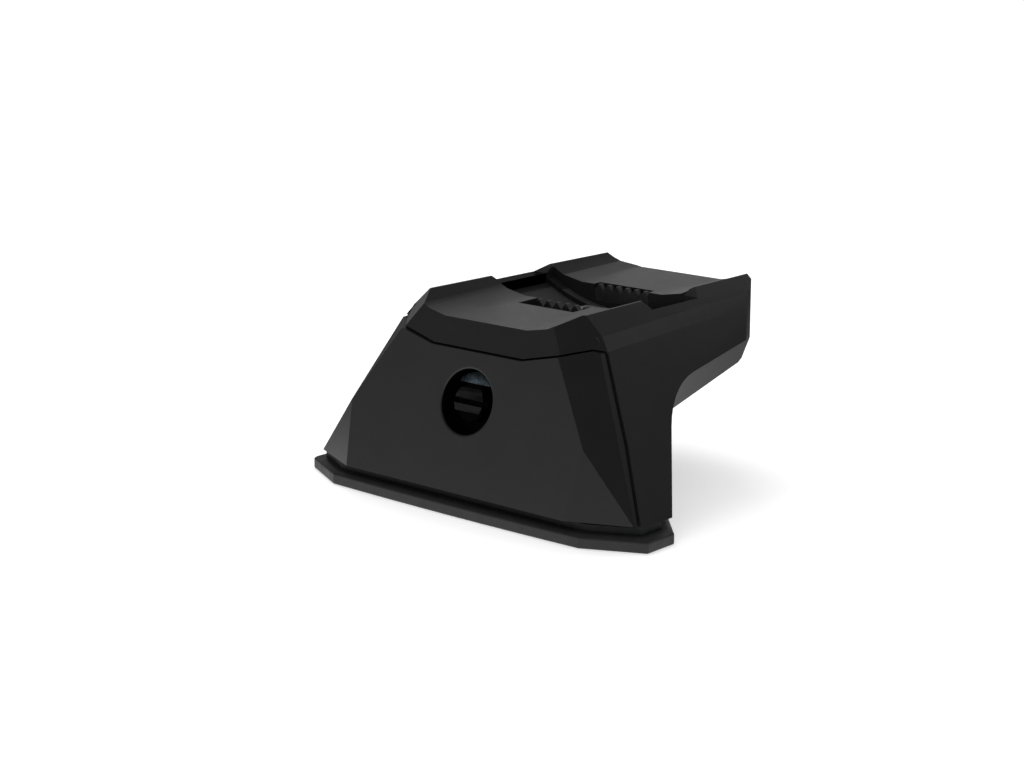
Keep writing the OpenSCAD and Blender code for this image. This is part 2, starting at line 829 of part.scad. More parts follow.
// Well with a hollow floor and a step in front of the rear seat
module well() {
    step_y = rear_seat_start - 3.6;
    intersection() {
        translate([-well_half, front_seat_end, 50])
            cube([2 * well_half, rear_seat_start - front_seat_end, 40]);
        union() {
            rod_y(well_r, 0, well_mid_z + well_r, front_seat_end - 1, step_y);
            rod_y(well_r, 0, well_mid_z + 1.8 + well_r, step_y - 1, rear_seat_start + 1);
        }
    }
}

module notches() {
    translate([-notch_w / 2, front_seat_end - front_notch, seat_z - notch_depth])
        cube([notch_w, front_notch + 1, 2 * notch_depth]);
    translate([-notch_w / 2, rear_seat_start - 1, seat_z - notch_depth])
        cube([notch_w, rear_notch + 1, 2 * notch_depth]);
}

notch_depth = 5;
front_grip_y = front_seat_end - grip_t;
rear_grip_y = rear_seat_start + 0.2;

module grip_slot(y) {
    translate([-notch_w / 2, y - fit_gap, seat_z - notch_depth - grip_root - fit_gap])
        cube([notch_w, grip_t + 2 * fit_gap, grip_root + 1]);
}

module bar_cradle() {
    color("#262626")
        placed()
            difference() {
                cradle_block();
                cover_room();
                below_front_edge();
                bar_space();
                low_walls();
                well();
                notches();
                grip_slot(front_grip_y);
                grip_slot(rear_grip_y);
                cradle_pocket();
                translate([0, tee_y, deck_z - 1]) cylinder(d = tee_shank_d + 1.4, h = 20);
                at_cradle_screws() cylinder(d = cradle_screw_d + 2 * fit_gap, h = cradle_screw_len);
            }
}

// Clears the cradle's front apron from the cover's top edge
module below_front_edge() {
    intersection() {
        below_cover_top(cover_gap / 2);
        translate([-big, -big, 0]) cube([2 * big, big + seam_y[0] - 1.6, big]);
    }
}

// Hollow under the apron, closed by the cover's top wall
module cradle_pocket() {
    translate([-26, 19.5, 45]) cube([52, 8, 13.5]);
}

// A toothed steel strip let into the cradle across the bar
module grip(y) {
    bottom = seat_z - notch_depth - grip_root;
    top = seat_at(y);
    width = notch_w - 2 * fit_gap;
    pitch = width / teeth;
    along_y(concat(
        [[width / 2, bottom], [-width / 2, bottom]],
        [for (i = [0 : teeth - 1]) each [
            [-width / 2 + i * pitch, top - tooth_h],
            [-width / 2 + (i + 0.42) * pitch, top],
            [-width / 2 + (i + 0.58) * pitch, top]
        ]],
        [[width / 2, top - tooth_h]]
    ), y, y + grip_t);
}

module front_grip() {
    color("dimgray") placed() grip(front_grip_y);
}

module rear_grip() {
    color("dimgray") placed() grip(rear_grip_y);
}

module cradle_screws() {
    color("silver")
        placed()
            at_cradle_screws()
                pan_screw(cradle_screw_d, cradle_screw_len - 1);
}

// Steel angle on the cavity floor that the cam's tongue turns behind
module keeper() {
    color("silver")
        placed()
            difference() {
                union() {
                    translate([-keeper_half, keeper_back - keeper_t, floor_z])
                        cube([2 * keeper_half, keeper_t, keeper_top - floor_z]);
                    translate([-keeper_half, keeper_back - keeper_t, floor_z])
                        cube([2 * keeper_half, keeper_t + keeper_foot, 1.6]);
                }
                at_keeper_screws() cylinder(d = small_screw_d + 2 * fit_gap, h = 20, center = true);
            }
}

module at_keeper_screws() {
    both_sides()
        translate([5, keeper_screw_y, floor_z + 1.6])
            children();
}

module keeper_screws() {
    color("silver")
        placed()
            at_keeper_screws() {
                cylinder(d = 1.7 * small_screw_d, h = 1.5);
                translate([0, 0, -4.8]) cylinder(d = small_screw_d, h = 5);
            }
}

module bolt_washer() {
    color("silver")
        placed()
            difference() {
                rod_y(bolt_d, 0, bolt_z, cavity_y - washer_t, cavity_y);
                rod_y(bolt_d / 2 + 0.2, 0, bolt_z, cavity_y - washer_t - 1, cavity_y + 1);
            }
}

clip_y = tunnel_front + 0.2;
clip_groove = 0.6;

module drive_bolt() {
    head_y = cavity_y - washer_t - bolt_head_h - 0.1;
    color("silver")
        placed()
            difference() {
                union() {
                    rod_y(bolt_head_d / 2, 0, bolt_z, head_y, head_y + bolt_head_h);
                    rod_y(bolt_d / 2, 0, bolt_z, head_y, bolt_tip);
                }
                translate([0, head_y - 1, bolt_z])
                    rotate([-90, 0, 0])
                        cylinder(d = 5.77, h = 4.2, $fn = 6);
                difference() {
                    rod_y(bolt_d, 0, bolt_z, clip_y - fit_gap, clip_y + clip_t + fit_gap);
                    rod_y(bolt_d / 2 - clip_groove, 0, bolt_z, clip_y - 1, clip_y + clip_t + 1);
                }
            }
}

// Open spring ring in a groove, which keeps a shaft from moving along its axis
module ring_clip(r_in, r_out, t) {
    difference() {
        cylinder(r = r_out, h = t);
        translate([0, 0, -1]) cylinder(r = r_in, h = t + 2);
        translate([-r_in * 0.7, -2 * r_out, -1]) cube([r_in * 1.4, 2 * r_out, t + 2]);
    }
}

module bolt_clip() {
    color("silver")
        placed()
            translate([0, clip_y, bolt_z])
                rotate([-90, 0, 0])
                    ring_clip(bolt_d / 2 - clip_groove + fit_gap, bolt_d / 2 + 1.8, clip_t);
}

// Sliding block with an inclined slot in each cheek and a thread in its front wall
module clamp_carriage() {
    slot_r = pin_d / 2 + 0.15;
    color("#8d9196")
        placed()
            difference() {
                along_x([
                    [carriage_front, carriage_low], [carriage_back, carriage_low],
                    [carriage_back, carriage_low + 10], [carriage_back - 6, carriage_top],
                    [carriage_front, carriage_top]
                ], carriage_w / 2);
                translate([-cheek_gap, carriage_front + nut_wall, carriage_low - 1])
                    cube([2 * cheek_gap, 60, carriage_top - carriage_low + 2]);
                rod_y(bolt_d / 2 + run_gap, 0, bolt_z, carriage_front - 1, carriage_front + nut_wall + 1);
                inclined_slot(slot_r);
            }
}

// Slot that runs down and inboard by the clamp's travel
module inclined_slot(r) {
    translate([0, pin_rest[0], pin_rest[1]])
        rotate([0, 90, 0])
            cylinder(r = r, h = 60, center = true);
    translate([0, pin_rest[0] - clamp_travel, pin_rest[1] + clamp_travel])
        rotate([0, 90, 0])
            cylinder(r = r, h = 60, center = true);
    translate([0, pin_rest[0], pin_rest[1]])
        rotate([45, 0, 0])
            translate([-30, -r, 0])
                cube([60, 2 * r, clamp_travel * sqrt(2)]);
}

module clamp_tee() {
    shank_low = pin_rest[1] - pin_d / 2 - 1.6;
    color("silver")
        placed()
            difference() {
                union() {
                    translate([-tee_head_len / 2, tee_y - tee_head_w / 2, tee_head_z])
                        cube([tee_head_len, tee_head_w, tee_head_t]);
                    translate([0, tee_y, shank_low])
                        cylinder(d = tee_shank_d, h = tee_head_z - shank_low + 1);
                }
                translate([0, tee_y, pin_rest[1]])
                    rotate([0, 90, 0])
                        cylinder(d = pin_d + 2 * fit_gap, h = 60, center = true);
            }
}

module tee_pin() {
    color("silver")
        placed()
            translate([0, tee_y, pin_rest[1]])
                rotate([0, 90, 0])
                    cylinder(d = pin_d, h = carriage_w - 1, center = true);
}

module lock_housing() {
    color("#6f7b86")
        placed()
            at_lock()
                difference() {
                    union() {
                        translate([0, 0, housing_end]) cylinder(d = housing_d, h = recess_floor - housing_end + 1);
                        translate([0, 0, recess_floor]) cylinder(d = flange_d, h = housing_face - recess_floor);
                    }
                    translate([0, 0, housing_end - 1]) cylinder(d = barrel_d + 2 * run_gap, h = 40);
                }
}

// Domed hood that sheds water over the top of the barrel
module lock_hood() {
    color("#6f7b86")
        placed()
            at_lock()
                difference() {
                    intersection() {
                        translate([0, 0, hood_top + 1.1 - hood_r]) sphere(r = hood_r);
                        translate([0, 0, housing_face]) cylinder(d = flange_d - 0.4, h = 10);
                        translate([-big, hood_low, -big]) cube(2 * big);
                    }
                    translate([0, 0, housing_face - 1]) cylinder(d = barrel_d + 0.6, h = 20);
                }
}

module lock_nut() {
    color("silver")
        placed()
            at_lock()
                difference() {
                    translate([0, 0, nut_end]) cylinder(d = nut_across, h = collar_end - nut_end, $fn = 6);
                    translate([0, 0, nut_end - 1]) cylinder(d = housing_d + 2 * fit_gap, h = 10);
                }
}

module lock_barrel() {
    color("#1c1c1e")
        placed()
            at_lock()
                difference() {
                    union() {
                        translate([0, 0, cam_front])
                            cylinder(d = barrel_d, h = barrel_face - cam_front);
                        translate([-spigot / 2, -spigot / 2, cam_front - cam_t])
                            cube([spigot, spigot, cam_t + 1]);
                    }
                    translate([-barrel_d / 2, -0.9, barrel_face - 2.5]) cube([barrel_d, 1.8, 5]);
                    translate([0, 0, housing_end - clip_t - 0.2 - fit_gap])
                        difference() {
                            cylinder(d = 2 * barrel_d, h = clip_t + 2 * fit_gap);
                            translate([0, 0, -1]) cylinder(d = barrel_d - 2 * clip_groove, h = clip_t + 3);
                        }
                    translate([0, 0, cam_front - cam_t - 1]) cylinder(d = 3 + 2 * fit_gap, h = 8);
                }
}

module lock_clip() {
    color("silver")
        placed()
            at_lock()
                translate([0, 0, housing_end - clip_t - 0.2])
                    ring_clip(barrel_d / 2 - clip_groove + fit_gap, barrel_d / 2 + 1.6, clip_t);
}

// Flat cam; its tongue points along the vehicle while the lock is open
module lock_cam() {
    color("silver")
        placed()
            at_lock()
                translate([0, 0, cam_front - cam_t])
                    difference() {
                        union() {
                            cylinder(r = 6, h = cam_t);
                            translate([0, -cam_half, 0]) cube([cam_reach, 2 * cam_half, cam_t]);
                        }
                        translate([-spigot / 2 - fit_gap, -spigot / 2 - fit_gap, -1])
                            cube([spigot + 2 * fit_gap, spigot + 2 * fit_gap, cam_t + 2]);
                    }
}

module cam_screw() {
    color("silver")
        placed()
            at_lock()
                translate([0, 0, cam_front - cam_t]) {
                    translate([0, 0, -1.8]) cylinder(d = 9.6, h = 1.8);
                    cylinder(d = 3, h = 6);
                }
}

base_pad();
base_plate();
base_screws();
fixing_sleeves();
tower_body();
keel_cover();
keel_screws();
bar_cradle();
cradle_screws();
front_grip();
rear_grip();
keeper();
keeper_screws();
bolt_washer();
drive_bolt();
bolt_clip();
clamp_carriage();
clamp_tee();
tee_pin();
front_cover();
lock_housing();
lock_hood();
lock_nut();
lock_barrel();
lock_clip();
lock_cam();
cam_screw();
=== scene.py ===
"""Roof bar foot: finishes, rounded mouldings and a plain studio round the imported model."""

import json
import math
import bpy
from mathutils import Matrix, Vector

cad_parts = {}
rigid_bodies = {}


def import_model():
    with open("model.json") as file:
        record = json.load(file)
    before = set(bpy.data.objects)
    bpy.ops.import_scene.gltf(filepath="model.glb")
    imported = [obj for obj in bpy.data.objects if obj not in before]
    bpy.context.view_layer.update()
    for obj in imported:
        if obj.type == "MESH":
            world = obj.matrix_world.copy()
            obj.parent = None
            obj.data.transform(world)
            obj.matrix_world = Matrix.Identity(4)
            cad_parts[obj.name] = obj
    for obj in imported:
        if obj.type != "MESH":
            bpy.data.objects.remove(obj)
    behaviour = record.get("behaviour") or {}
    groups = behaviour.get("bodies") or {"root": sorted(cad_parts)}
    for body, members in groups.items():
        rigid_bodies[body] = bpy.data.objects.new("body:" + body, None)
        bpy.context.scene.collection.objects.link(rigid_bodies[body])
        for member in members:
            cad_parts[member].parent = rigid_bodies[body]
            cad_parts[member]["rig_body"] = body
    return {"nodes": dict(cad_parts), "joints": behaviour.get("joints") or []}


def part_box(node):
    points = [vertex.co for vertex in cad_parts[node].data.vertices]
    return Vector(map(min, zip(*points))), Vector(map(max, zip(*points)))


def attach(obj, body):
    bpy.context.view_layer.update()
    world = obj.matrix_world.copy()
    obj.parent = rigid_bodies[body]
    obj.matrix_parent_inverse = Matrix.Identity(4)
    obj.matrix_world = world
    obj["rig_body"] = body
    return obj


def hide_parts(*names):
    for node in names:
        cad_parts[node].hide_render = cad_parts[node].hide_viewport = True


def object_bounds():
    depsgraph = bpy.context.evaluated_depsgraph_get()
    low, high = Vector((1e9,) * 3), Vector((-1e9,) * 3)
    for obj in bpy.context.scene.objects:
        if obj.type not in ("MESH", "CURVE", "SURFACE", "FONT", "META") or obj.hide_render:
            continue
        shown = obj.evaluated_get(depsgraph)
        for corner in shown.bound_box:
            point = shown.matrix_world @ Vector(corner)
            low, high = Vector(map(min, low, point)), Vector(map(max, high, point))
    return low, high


bl_info = {
    "name": "Roof Bar Foot",
    "version": (1, 0, 0),
    "blender": (4, 5, 0),
    "location": "View3D > Sidebar > Bar Foot",
    "description": "Dresses a roof bar foot in moulded nylon, rubber and plated steel",
    "category": "Object",
}

import bmesh
import bpy
from mathutils import Matrix, Vector

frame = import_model()
cad_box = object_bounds()

MM = 0.001
NEAR = 0.2 * MM

# Bounds of the well between the two bar seats, in the frame's metres
WELL_Y = (0.0305, 0.0615)
WELL_HALF = 0.0312
WELL_TOP = 0.0600

# Grey levels of the studio as shiny faces mirror it, each as stops of place and level
FLOOR_GREYS = ((0.0, 1.0), (0.12, 1.0), (0.3, 0.5), (0.46, 0.28), (0.8, 0.09))
AHEAD_GREYS = ((0.0, 1.0), (0.09, 0.82), (0.19, 0.6), (0.36, 0.22), (0.6, 0.14))
WINDOW_GREYS = ((0.0, 0.25), (0.1, 0.5), (0.22, 0.9), (0.34, 0.95), (0.5, 0.64), (1.0, 0.64))
BEHIND_LEFT_GREYS = ((0.0, 0.45), (0.26, 0.46), (0.42, 0.36), (0.66, 0.09))
BEHIND_RIGHT_GREYS = ((0.0, 0.05), (0.34, 0.06), (0.4, 0.4), (0.5, 0.55), (0.58, 0.1), (0.75, 0.07))

# Large lamp above and behind the foot: direction from the frame's origin, distance and width
KEY_DIRECTION = (-0.45, 0.3, 0.84)
KEY_DISTANCE = 1.6
KEY_WIDTH = 0.9


# Sizes and colours that a user would change


class MouldingSettings(bpy.types.PropertyGroup):
    """Black nylon mouldings: tower, cradle, cover and keel cover."""

    colour: bpy.props.FloatVectorProperty(
        name="Nylon colour", description="Base colour of the black mouldings",
        subtype="COLOR", size=3, min=0, max=1, default=(0.0088, 0.0088, 0.0086))
    roughness: bpy.props.FloatProperty(
        name="Satin", description="Roughness of the moulded faces",
        subtype="FACTOR", min=0, max=1, default=0.33)
    grain: bpy.props.FloatProperty(
        name="Grain size", description="Size of the fine texture left by the mould",
        unit="LENGTH", min=0.0001, max=0.002, default=0.32 * MM)
    grain_depth: bpy.props.FloatProperty(
        name="Grain depth", description="Height of the fine texture left by the mould",
        unit="LENGTH", min=0, max=0.0002, default=0.008 * MM)
    edge_radius: bpy.props.FloatProperty(
        name="Edge radius", description="Radius on the long outer edges of the mouldings",
        unit="LENGTH", min=0, max=0.002, default=0.55 * MM)
    # Makes the well's floor this many times paler than the other mouldings.
    well_shade: bpy.props.FloatProperty(
        name="Well shade", description="How much paler the dusty floor of the well is",
        min=1, max=10, default=3.3)
    # Painted highlight: sets how pale the painted highlights on the mouldings' edges are.
    edge_highlight_strength: bpy.props.FloatProperty(
        name="Edge wear", description="How much paler the rubbed edges are",
        subtype="FACTOR", min=0, max=1, default=0.35)


class PadSettings(bpy.types.PropertyGroup):
    """Rubber pad and coated plate under the foot."""

    rubber_colour: bpy.props.FloatVectorProperty(
        name="Rubber colour", description="Base colour of the roof pad",
        subtype="COLOR", size=3, min=0, max=1, default=(0.0145, 0.0148, 0.015))
    rubber_roughness: bpy.props.FloatProperty(
        name="Rubber sheen", description="Roughness of the rubber",
        subtype="FACTOR", min=0, max=1, default=0.5)
    edge_radius: bpy.props.FloatProperty(
        name="Pad edge radius", description="Radius on the pad's edges",
        unit="LENGTH", min=0, max=0.002, default=0.5 * MM)
    # Painted shade: the plate is coloured darker than its coating for the shade of the groove it sits
    # in.
    plate_black_and_shade: bpy.props.FloatVectorProperty(
        name="Plate colour", description="Base colour of the coated steel plate",
        subtype="COLOR", size=3, min=0, max=1, default=(0.004, 0.0048, 0.005))


class MetalSettings(bpy.types.PropertyGroup):
    """Plated, blackened and cast metal pieces."""

    zinc_colour: bpy.props.FloatVectorProperty(
        name="Zinc colour", description="Colour of zinc-plated screws, sleeves and keeper",
        subtype="COLOR", size=3, min=0, max=1, default=(0.56, 0.57, 0.58))
    grip_colour: bpy.props.FloatVectorProperty(
        name="Grip colour", description="Colour of the blackened toothed grips",
        subtype="COLOR", size=3, min=0, max=1, default=(0.12, 0.122, 0.125))
    block_colour: bpy.props.FloatVectorProperty(
        name="Carriage colour", description="Colour of the die-cast clamp carriage",
        subtype="COLOR", size=3, min=0, max=1, default=(0.36, 0.37, 0.38))


class LockSettings(bpy.types.PropertyGroup):
    """Lock housing, its hood and the slotted barrel."""

    metal_colour: bpy.props.FloatVectorProperty(
        name="Lock metal", description="Colour of the die-cast lock housing",
        subtype="COLOR", size=3, min=0, max=1, default=(0.19, 0.255, 0.3))
    # Painted shade: this near-black also goes on the housing and on the lock hole's wall, where there
    # is shade.
    lock_black_and_shade_colour: bpy.props.FloatVectorProperty(
        name="Lock black", description="Colour of the coated housing and barrel",
        subtype="COLOR", size=3, min=0, max=1, default=(0.0012, 0.0013, 0.0018))
    hood_reach: bpy.props.FloatProperty(
        name="Hood reach", description="Radius of the hood over the barrel",
        unit="LENGTH", min=0.007, max=0.011, default=10.3 * MM)
    hood_low: bpy.props.FloatProperty(
        name="Hood low edge", description="Height of the hood's lower edge above the barrel's axis",
        unit="LENGTH", min=0.005, max=0.008, default=6.3 * MM)
    hood_rise: bpy.props.FloatProperty(
        name="Hood rise", description="How far the hood's dome would stand above the barrel's face",
        unit="LENGTH", min=0, max=0.0015, default=0.8 * MM)
    hood_sphere: bpy.props.FloatProperty(
        name="Hood sphere", description="Radius of the hood's dome",
        unit="LENGTH", min=0.012, max=0.03, default=16 * MM)
    jaw_colour: bpy.props.FloatVectorProperty(
        name="Jaw colour", description="Colour of the two jaws beside the key slot",
        subtype="COLOR", size=3, min=0, max=1, default=(0.0125, 0.012, 0.0123))
    jaw_height: bpy.props.FloatProperty(
        name="Upper jaw", description="Height of the upper jaw's top above the barrel's axis",
        unit="LENGTH", min=0.002, max=0.006, default=4.6 * MM)
    jaw_bend: bpy.props.FloatProperty(
        name="Upper jaw bend", description="Height above the axis from which the upper jaw slopes back",
        unit="LENGTH", min=0.001, max=0.004, default=2.9 * MM)
    jaw_slope: bpy.props.FloatProperty(
        name="Upper jaw slope", description="How far the top of the upper jaw slopes back",
        subtype="ANGLE", min=0, max=1, default=math.radians(14))
    jaw_depth: bpy.props.FloatProperty(
        name="Lower jaw", description="Depth of the lower jaw's underside below the barrel's axis",
        unit="LENGTH", min=0.002, max=0.006, default=3.3 * MM)
    jaw_step: bpy.props.FloatProperty(
        name="Jaw step", description="How far the jaws stand out of the barrel's face",
        unit="LENGTH", min=0.0005, max=0.003, default=1.6 * MM)


class StageSettings(bpy.types.PropertyGroup):
    """Camera, floor and light."""

    azimuth: bpy.props.FloatProperty(
        name="Azimuth", description="Camera's turn round the foot from straight in front",
        subtype="ANGLE", default=math.radians(41.35))
    elevation: bpy.props.FloatProperty(
        name="Elevation", description="Camera's angle above the horizon",
        subtype="ANGLE", default=math.radians(13.62))
    distance: bpy.props.FloatProperty(
        name="Distance", description="Camera's distance from the aim point",
        unit="LENGTH", min=0.2, max=5, default=0.7)
    lens: bpy.props.FloatProperty(
        name="Lens", description="Focal length in millimetres on a 36 mm sensor",
        min=10, max=300, default=78.25)
    aim: bpy.props.FloatVectorProperty(
        name="Aim point", description="Point that the camera looks at",
        subtype="TRANSLATION", size=3, default=(0.0307, -0.0318, 0.0512))
    fill: bpy.props.FloatProperty(
        name="Fill", description="Level of the even light from all round",
        min=0, max=2, default=0.72)
    key_power: bpy.props.FloatProperty(
        name="Key light", description="Power of the large lamp above and behind",
        subtype="POWER", min=0, max=100, default=9)
    floor_colour: bpy.props.FloatVectorProperty(
        name="Floor colour", description="Base colour of the pale floor",
        subtype="COLOR", size=3, min=0, max=1, default=(0.8, 0.8, 0.8))
    floor_lift: bpy.props.FloatProperty(
        name="Floor lift", description="How much whiter the floor looks to the camera",
        min=0, max=1, default=0.43)


# Node helpers


def new_material(name):
    """A node material, its node tree and its shader node."""
    material = bpy.data.materials.new(name)
    material.use_nodes = True
    tree = material.node_tree
    return material, tree, tree.nodes["Principled BSDF"]


def wire(tree, source, target):
    tree.links.new(source, target)


def local_noise(tree, feature, detail=3.0, roughness=0.55):
    """Noise in the object's own space whose blobs are about one feature wide."""
    place = tree.nodes.new("ShaderNodeTexCoord")
    noise = tree.nodes.new("ShaderNodeTexNoise")
    noise.inputs["Scale"].default_value = 1 / feature
    noise.inputs["Detail"].default_value = detail
    noise.inputs["Roughness"].default_value = roughness
    wire(tree, place.outputs["Object"], noise.inputs["Vector"])
    return noise.outputs["Fac"]


def spread(tree, value, low, high, start=0.3, end=0.7):
    """Maps a noise value to a range."""
    ranged = tree.nodes.new("ShaderNodeMapRange")
    ranged.inputs["From Min"].default_value = start
    ranged.inputs["From Max"].default_value = end
    ranged.inputs["To Min"].default_value = low
    ranged.inputs["To Max"].default_value = high
    wire(tree, value, ranged.inputs["Value"])
    return ranged.outputs["Result"]


def mix_colour(tree, factor, first, second):
    """Mixes two colours; each is a colour value or a socket."""
    mix = tree.nodes.new("ShaderNodeMix")
    mix.data_type = "RGBA"
    wire(tree, factor, mix.inputs["Factor"])
    for source, socket in ((first, mix.inputs["A"]), (second, mix.inputs["B"])):
        if isinstance(source, bpy.types.NodeSocket):
            wire(tree, source, socket)
        else:
            socket.default_value = (*source, 1)
    return mix.outputs["Result"]


def grey_ramp(tree, height, levels):
    """A grey level that follows a value from 0 to 1 through the given stops."""
    ramp = tree.nodes.new("ShaderNodeValToRGB")
    stops = ramp.color_ramp.elements
    while len(stops) < len(levels):
        stops.new(0.5)
    for stop, (place, level) in zip(stops, levels):
        stop.position = place
        stop.color = (level, level, level, 1)
    wire(tree, height, ramp.inputs["Fac"])
    return ramp.outputs["Color"]


def scaled(colour, factor):
    return tuple(min(1.0, c * factor) for c in colour)


def mottled(tree, colour, change, feature):
    """A colour that drifts a little paler and darker over the surface."""
    drift = spread(tree, local_noise(tree, feature), 0, 1)
    return mix_colour(tree, drift, scaled(colour, 1 - change), scaled(colour, 1 + change))


def mirrored_rays(tree, path):
    """1 for the rays by which shiny and clear faces see the studio, 0 for all others."""
    either = tree.nodes.new("ShaderNodeMath")
    either.operation = "MAXIMUM"
    wire(tree, path.outputs["Is Glossy Ray"], either.inputs[0])
    wire(tree, path.outputs["Is Transmission Ray"], either.inputs[1])
    return either.outputs["Value"]


def edge_mask(tree, radius, reach=0.06):
    """1 on edges and corners, 0 on flat faces, from the change of a rounded normal."""
    rounded = tree.nodes.new("ShaderNodeBevel")
    rounded.samples = 4
    rounded.inputs["Radius"].default_value = radius
    flat = tree.nodes.new("ShaderNodeNewGeometry")
    dot = tree.nodes.new("ShaderNodeVectorMath")
    dot.operation = "DOT_PRODUCT"
    wire(tree, rounded.outputs["Normal"], dot.inputs[0])
    wire(tree, flat.outputs["Normal"], dot.inputs[1])
    return spread(tree, dot.outputs["Value"], 1, 0, 1 - reach, 1 - reach / 8)


def grain_bump(tree, shader, feature, depth, strength=1.0, detail=2.0):
    """Fine surface texture."""
    bump = tree.nodes.new("ShaderNodeBump")
    bump.inputs["Strength"].default_value = strength
    bump.inputs["Distance"].default_value = depth
    wire(tree, local_noise(tree, feature, detail), bump.inputs["Height"])
    wire(tree, bump.outputs["Normal"], shader.inputs["Normal"])


# Finishes


def moulded_nylon(settings, name="moulded_nylon", shade=1.0, roughness=0.0):
    """Black glass-filled nylon with a fine mould texture and painted highlights on its edges, in
    patches.
    """
    material, tree, shader = new_material(name)
    colour = scaled(settings.colour, shade)
    body = mottled(tree, colour, 0.12, 14 * MM)
    speck = spread(tree, local_noise(tree, settings.grain * 1.6, 1), 0, 0.3, 0.5, 0.72)
    flecked = mix_colour(tree, speck, body, scaled(colour, 1.9))
    # Painted highlight: edges and corners are painted up to 3.2 times paler, in noisy patches.
    edge = edge_mask(tree, 0.35 * MM)
    patchy_highlight = tree.nodes.new("ShaderNodeMath")
    patchy_highlight.operation = "MULTIPLY"
    wire(tree, edge, patchy_highlight.inputs[0])
    wire(tree, spread(tree, local_noise(tree, 3 * MM), 0.1, settings.edge_highlight_strength), patchy_highlight.inputs[1])
    with_edge_highlight = mix_colour(tree, patchy_highlight.outputs["Value"], flecked, scaled(colour, 3.2))
    wire(tree, with_edge_highlight, shader.inputs["Base Color"])
    base = settings.roughness + roughness
    drift = spread(tree, local_noise(tree, 4 * MM, 5, 0.7), base - 0.02, base + 0.02)
    wire(tree, drift, shader.inputs["Roughness"])
    shader.inputs["IOR"].default_value = 1.5
    grain_bump(tree, shader, settings.grain, settings.grain_depth, 0.6)
    return material


def pad_rubber(settings):
    """Dull rubber with a bloom of dust."""
    material, tree, shader = new_material("pad_rubber")
    body = mottled(tree, settings.rubber_colour, 0.18, 6 * MM)
    dust = spread(tree, local_noise(tree, 0.9 * MM, 5, 0.7), 0, 0.35, 0.55, 0.8)
    lightened = mix_colour(tree, dust, body, scaled(settings.rubber_colour, 2.4))
    wire(tree, lightened, shader.inputs["Base Color"])
    base = settings.rubber_roughness
    drift = spread(tree, local_noise(tree, 4 * MM, 4), base - 0.04, base + 0.06)
    wire(tree, drift, shader.inputs["Roughness"])
    shader.inputs["IOR"].default_value = 1.52
    grain_bump(tree, shader, 0.5 * MM, 0.012 * MM, 0.7)
    return material


def coated_steel(settings):
    """Black electro-coated steel with a slight orange peel, darker than its own coating as painted
    shade in the groove it sits in.
    """
    material, tree, shader = new_material("coated_steel")
    wire(tree, mottled(tree, settings.plate_black_and_shade, 0.15, 5 * MM), shader.inputs["Base Color"])
    wire(tree, spread(tree, local_noise(tree, 3 * MM), 0.5, 0.62), shader.inputs["Roughness"])
    shader.inputs["IOR"].default_value = 1.35
    grain_bump(tree, shader, 1.2 * MM, 0.01 * MM, 0.5)
    return material


def plated_metal(name, colour, low, high, feature, depth, tint=1.0):
    """Metal whose plating drifts in tone, dulls in patches and has painted highlights on its edges."""
    material, tree, shader = new_material(name)
    warm = (min(1, colour[0] * tint), colour[1], colour[2] / tint)
    drift = spread(tree, local_noise(tree, 5 * MM, 4), 0, 1)
    body = mix_colour(tree, drift, scaled(colour, 0.86), warm)
    # Painted highlight: edges are painted 1.35 times paler.
    with_edge_highlight = mix_colour(tree, edge_mask(tree, 0.2 * MM), body, scaled(colour, 1.35))
    wire(tree, with_edge_highlight, shader.inputs["Base Color"])
    wire(tree, spread(tree, local_noise(tree, 2 * MM, 4), low, high), shader.inputs["Roughness"])
    shader.inputs["Metallic"].default_value = 1
    grain_bump(tree, shader, feature, depth, 0.5)
    return material


def speckled_casting(settings):
    """Blue-grey die-cast lock metal with fine bright and dark specks."""
    material, tree, shader = new_material("speckled_casting")
    colour = settings.metal_colour
    speck = spread(tree, local_noise(tree, 0.9 * MM, 4, 0.7), 0, 1, 0.34, 0.68)
    flecked = mix_colour(tree, speck, scaled(colour, 0.45), scaled(colour, 1.9))
    wire(tree, flecked, shader.inputs["Base Color"])
    wire(tree, spread(tree, local_noise(tree, 0.5 * MM, 3), 0.28, 0.46), shader.inputs["Roughness"])
    shader.inputs["Metallic"].default_value = 0.9
    grain_bump(tree, shader, 0.8 * MM, 0.02 * MM, 0.7)
    return material


def lock_black(settings):
    """Black coated lock metal, almost unreflective, with a slightly uneven gloss: the barrel's own
    black, and painted shade on the housing and on the wall of the lock hole.
    """
    material, tree, shader = new_material("lock_black")
    colour = settings.lock_black_and_shade_colour
    body = mottled(tree, colour, 0.2, 2 * MM)
    # Painted highlight: edges are painted three times paler.
    with_edge_highlight = mix_colour(tree, edge_mask(tree, 0.25 * MM), body, scaled(colour, 3))
    wire(tree, with_edge_highlight, shader.inputs["Base Color"])
    wire(tree, spread(tree, local_noise(tree, 1.5 * MM, 4), 0.3, 0.42), shader.inputs["Roughness"])
    # Almost no reflection, so the painted shade stays black.
    shader.inputs["Specular IOR Level"].default_value = 0.015
    grain_bump(tree, shader, 0.6 * MM, 0.006 * MM, 0.5)
    return material


